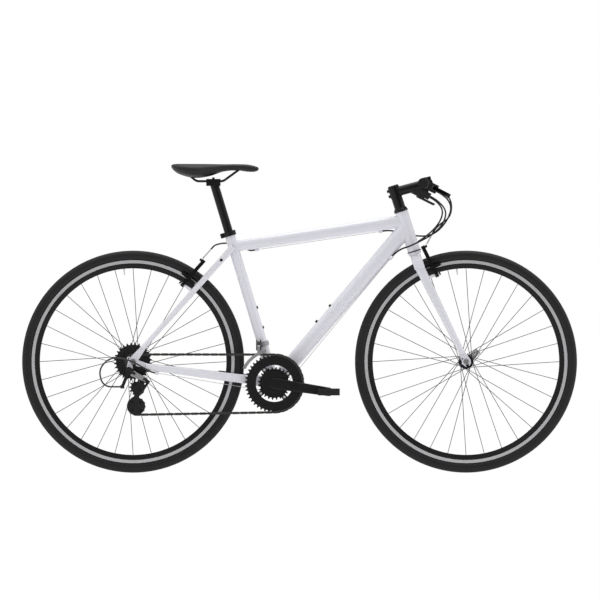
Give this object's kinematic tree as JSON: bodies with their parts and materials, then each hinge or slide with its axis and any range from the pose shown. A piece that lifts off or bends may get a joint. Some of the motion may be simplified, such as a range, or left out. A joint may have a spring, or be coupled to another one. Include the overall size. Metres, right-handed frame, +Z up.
{
  "type": "hybrid bicycle",
  "caption": "Flat-bar hybrid bicycle with a white frame and rigid fork, rim brakes, multi-speed chain drive, padded saddle and quick-release spoked wheels.",
  "frame": {"origin": "on the ground, midway between the wheels' contact points and in the frame's middle plane", "axes": "+X forward, +Y to the rider's left, +Z up"},
  "size_m": [1.7139, 0.6074, 0.9542],
  "materials": {
    "frame_paint": "gloss white paint",
    "black_metal": "satin black",
    "black_alloy": "anodised black",
    "rim_black": "black with a bright machined brake track",
    "bright_metal": "polished silver",
    "spoke_steel": "bright drawn steel",
    "chain_steel": "dark oiled steel",
    "dark_steel": "dark plated steel",
    "tyre_rubber": "matt black",
    "grip_rubber": "matt black",
    "black_plastic": "matt black",
    "saddle_cover": "satin black",
    "cable_black": "satin black"
  },
  "bodies": {
    "frame": {"head_tube": "frame_paint", "bottom_bracket_shell": "frame_paint", "seat_tube": "frame_paint", "down_tube": "frame_paint", "top_tube": "frame_paint", "dropouts": "frame_paint", "chainstays": "frame_paint", "seatstays": "frame_paint", "frame_bearings": "black_metal", "seat_clamp": "black_metal", "frame_bolts": "black_metal", "rear_axle": "bright_metal", "front_derailleur_band": "dark_steel", "rear_derailleur_body": "dark_steel", "frame_cables": "cable_black", "control_cables": "cable_black", "chain": "chain_steel"},
    "steering": {"fork": "frame_paint", "stem": "black_alloy", "handlebar": "black_alloy", "grips": "grip_rubber", "control_brackets": "black_alloy", "front_axle": "bright_metal"},
    "front_wheel": {"front_rim": "rim_black", "front_tyre": "tyre_rubber", "front_spokes": "spoke_steel", "front_hub": "bright_metal"},
    "rear_wheel": {"rear_rim": "rim_black", "rear_tyre": "tyre_rubber", "rear_spokes": "spoke_steel", "rear_hub": "bright_metal"},
    "sprockets": {"cassette": "dark_steel"},
    "crankset": {"chainrings": "black_alloy", "crank_arms": "black_alloy"},
    "right_pedal_body": {"right_pedal": "black_plastic"},
    "left_pedal_body": {"left_pedal": "black_plastic"},
    "seat": {"seatpost": "black_alloy", "saddle": "saddle_cover", "saddle_rails": "black_metal"},
    "front_brake_right": {"front_brake_right_arm": "black_alloy"},
    "front_brake_left": {"front_brake_left_arm": "black_alloy"},
    "rear_brake_right": {"rear_brake_right_arm": "black_alloy"},
    "rear_brake_left": {"rear_brake_left_arm": "black_alloy"},
    "left_lever": {"left_brake_lever": "black_alloy"},
    "right_lever": {"right_brake_lever": "black_alloy"},
    "left_thumb": {"left_thumb_lever": "black_plastic"},
    "right_thumb": {"right_thumb_lever": "black_plastic"},
    "left_trigger": {"left_trigger_lever": "black_plastic"},
    "right_trigger": {"right_trigger_lever": "black_plastic"},
    "derailleur_outer": {"rear_derailleur_outer_link": "bright_metal"},
    "derailleur_inner": {"rear_derailleur_inner_link": "dark_steel"},
    "derailleur_knuckle": {"rear_derailleur_knuckle": "dark_steel"},
    "derailleur_cage": {"rear_derailleur_cage": "dark_steel"},
    "guide_wheel": {"guide_pulley": "black_plastic"},
    "tension_wheel": {"tension_pulley": "black_plastic"},
    "shifter_outer": {"front_derailleur_outer_link": "dark_steel"},
    "shifter_inner": {"front_derailleur_inner_link": "dark_steel"},
    "shifter_cage": {"front_derailleur_cage": "dark_steel"},
    "front_quick": {"front_quick_lever": "bright_metal"},
    "rear_quick": {"rear_quick_lever": "bright_metal"}
  },
  "joints": [
    {"name": "steer", "type": "hinge", "parent": "frame", "child": "steering", "pos_m": [0.31417, 0, 0.80591], "axis": [-0.309, 0, 0.9511], "range_deg": [-70, 70], "deforming": ["control_cables"]},
    {"name": "front_wheel_spin", "type": "hinge", "parent": "steering", "child": "front_wheel", "pos_m": [0.514, 0, 0.343], "axis": [0, 1, 0], "continuous": true},
    {"name": "rear_wheel_spin", "type": "hinge", "parent": "frame", "child": "rear_wheel", "pos_m": [-0.514, 0, 0.343], "axis": [0, 1, 0], "continuous": true},
    {"name": "crank_spin", "type": "hinge", "parent": "frame", "child": "crankset", "pos_m": [-0.07772, 0, 0.276], "axis": [0, 1, 0], "continuous": true, "deforming": ["chain"]},
    {"name": "cassette_spin", "type": "hinge", "parent": "frame", "child": "sprockets", "pos_m": [-0.514, 0, 0.343], "axis": [0, 1, 0], "continuous": true},
    {"name": "right_pedal_spin", "type": "hinge", "parent": "crankset", "child": "right_pedal_body", "pos_m": [0.09033, -0.13, 0.25029], "axis": [0, 1, 0], "continuous": true},
    {"name": "left_pedal_spin", "type": "hinge", "parent": "crankset", "child": "left_pedal_body", "pos_m": [-0.24576, 0.13, 0.30171], "axis": [0, 1, 0], "continuous": true},
    {"name": "seatpost_height", "type": "slide", "parent": "frame", "child": "seat", "axis": [-0.289, 0, 0.9573], "range_m": [-0.1, 0.04]},
    {"name": "left_brake_squeeze", "type": "hinge", "parent": "steering", "child": "left_lever", "pos_m": [0.41728, 0.1468, 0.87707], "axis": [0.4383, 0.0228, 0.8986], "range_deg": [0, 24], "stiffness_Nm_per_rad": 0.8, "springref_deg": -17.19, "deforming": ["control_cables"]},
    {"name": "left_thumb_press", "type": "hinge", "parent": "steering", "child": "left_thumb", "pos_m": [0.39215, 0.14549, 0.88936], "axis": [-0.4383, -0.0228, -0.8986], "range_deg": [0, 22], "stiffness_Nm_per_rad": 0.3, "springref_deg": -11.46},
    {"name": "left_trigger_pull", "type": "hinge", "parent": "steering", "child": "left_trigger", "pos_m": [0.39215, 0.14549, 0.88936], "axis": [0.4383, 0.0228, 0.8986], "range_deg": [0, 14], "stiffness_Nm_per_rad": 0.3, "springref_deg": -11.46},
    {"name": "right_brake_squeeze", "type": "hinge", "parent": "steering", "child": "right_lever", "pos_m": [0.41728, -0.1468, 0.87707], "axis": [-0.4383, 0.0228, -0.8986], "range_deg": [0, 24], "stiffness_Nm_per_rad": 0.8, "springref_deg": -17.19, "deforming": ["frame_cables"]},
    {"name": "right_thumb_press", "type": "hinge", "parent": "steering", "child": "right_thumb", "pos_m": [0.39215, -0.14549, 0.88936], "axis": [0.4383, -0.0228, 0.8986], "range_deg": [0, 22], "stiffness_Nm_per_rad": 0.3, "springref_deg": -11.46},
    {"name": "right_trigger_pull", "type": "hinge", "parent": "steering", "child": "right_trigger", "pos_m": [0.39215, -0.14549, 0.88936], "axis": [-0.4383, 0.0228, -0.8986], "range_deg": [0, 14], "stiffness_Nm_per_rad": 0.3, "springref_deg": -11.46},
    {"name": "front_brake_right_swing", "type": "hinge", "parent": "steering", "child": "front_brake_right", "pos_m": [0.40637, -0.04, 0.60442], "axis": [-0.8955, 0, -0.4452], "range_deg": [0, 4]},
    {"name": "front_brake_left_swing", "type": "hinge", "parent": "steering", "child": "front_brake_left", "pos_m": [0.40637, 0.04, 0.60442], "axis": [0.8955, 0, 0.4452], "range_deg": [0, 4]},
    {"name": "rear_brake_right_swing", "type": "hinge", "parent": "frame", "child": "rear_brake_right", "pos_m": [-0.34533, -0.04, 0.57041], "axis": [-0.7467, 0, 0.6652], "range_deg": [0, 4]},
    {"name": "rear_brake_left_swing", "type": "hinge", "parent": "frame", "child": "rear_brake_left", "pos_m": [-0.34533, 0.04, 0.57041], "axis": [0.7467, 0, -0.6652], "range_deg": [0, 4]},
    {"name": "rear_shift", "type": "hinge", "parent": "frame", "child": "derailleur_outer", "pos_m": [-0.51207, -0.095, 0.30625], "axis": [0.5198, 0.4226, 0.7424], "range_deg": [0, 50], "stiffness_Nm_per_rad": 0.6, "springref_deg": -17.19, "deforming": ["chain", "frame_cables"]},
    {"name": "rear_inner_link_turn", "type": "hinge", "parent": "frame", "child": "derailleur_inner", "pos_m": [-0.51207, -0.081, 0.30625], "axis": [0.5198, 0.4226, 0.7424], "range_deg": [0, 50]},
    {"name": "rear_knuckle_turn", "type": "hinge", "parent": "derailleur_outer", "child": "derailleur_knuckle", "pos_m": [-0.47621, -0.10485, 0.28674], "axis": [0.5198, 0.4226, 0.7424], "range_deg": [-50, 0]},
    {"name": "cage_swing", "type": "hinge", "parent": "derailleur_knuckle", "child": "derailleur_cage", "pos_m": [-0.492, -0.058, 0.271], "axis": [0, 1, 0], "range_deg": [-12, 30], "stiffness_Nm_per_rad": 0.6, "deforming": ["chain"]},
    {"name": "guide_pulley_spin", "type": "hinge", "parent": "derailleur_cage", "child": "guide_wheel", "pos_m": [-0.502, -0.058, 0.263], "axis": [0, 1, 0], "continuous": true},
    {"name": "tension_pulley_spin", "type": "hinge", "parent": "derailleur_cage", "child": "tension_wheel", "pos_m": [-0.50275, -0.058, 0.206], "axis": [0, 1, 0], "continuous": true},
    {"name": "front_shift", "type": "hinge", "parent": "frame", "child": "shifter_outer", "pos_m": [-0.12613, -0.04, 0.40562], "axis": [1, 0, 0], "range_deg": [0, 38], "deforming": ["chain", "frame_cables"]},
    {"name": "front_inner_link_turn", "type": "hinge", "parent": "frame", "child": "shifter_inner", "pos_m": [-0.12613, -0.027, 0.40062], "axis": [1, 0, 0], "range_deg": [0, 38]},
    {"name": "front_cage_turn", "type": "hinge", "parent": "shifter_outer", "child": "shifter_cage", "pos_m": [-0.12613, -0.06176, 0.388], "axis": [1, 0, 0], "range_deg": [-38, 0]},
    {"name": "front_quick_open", "type": "hinge", "parent": "steering", "child": "front_quick", "pos_m": [0.514, 0.0625, 0.343], "axis": [-0.7071, 0, 0.7071], "range_deg": [0, 160]},
    {"name": "rear_quick_open", "type": "hinge", "parent": "frame", "child": "rear_quick", "pos_m": [-0.514, 0.08, 0.343], "axis": [-0.342, 0, 0.9397], "range_deg": [0, 160]}
  ],
  "couplings": [
    {"joint": "cassette_spin", "follows": "crank_spin", "ratio": 4},
    {"joint": "front_brake_right_swing", "follows": "left_brake_squeeze", "ratio": 0.16667},
    {"joint": "front_brake_left_swing", "follows": "left_brake_squeeze", "ratio": 0.16667},
    {"joint": "rear_brake_right_swing", "follows": "right_brake_squeeze", "ratio": 0.16667},
    {"joint": "rear_brake_left_swing", "follows": "right_brake_squeeze", "ratio": 0.16667},
    {"joint": "rear_inner_link_turn", "follows": "rear_shift", "ratio": 1},
    {"joint": "rear_knuckle_turn", "follows": "rear_shift", "ratio": -1},
    {"joint": "guide_pulley_spin", "follows": "crank_spin", "ratio": -4},
    {"joint": "tension_pulley_spin", "follows": "crank_spin", "ratio": 3.3846},
    {"joint": "front_inner_link_turn", "follows": "front_shift", "ratio": 1},
    {"joint": "front_cage_turn", "follows": "front_shift", "ratio": -1}
  ]
}
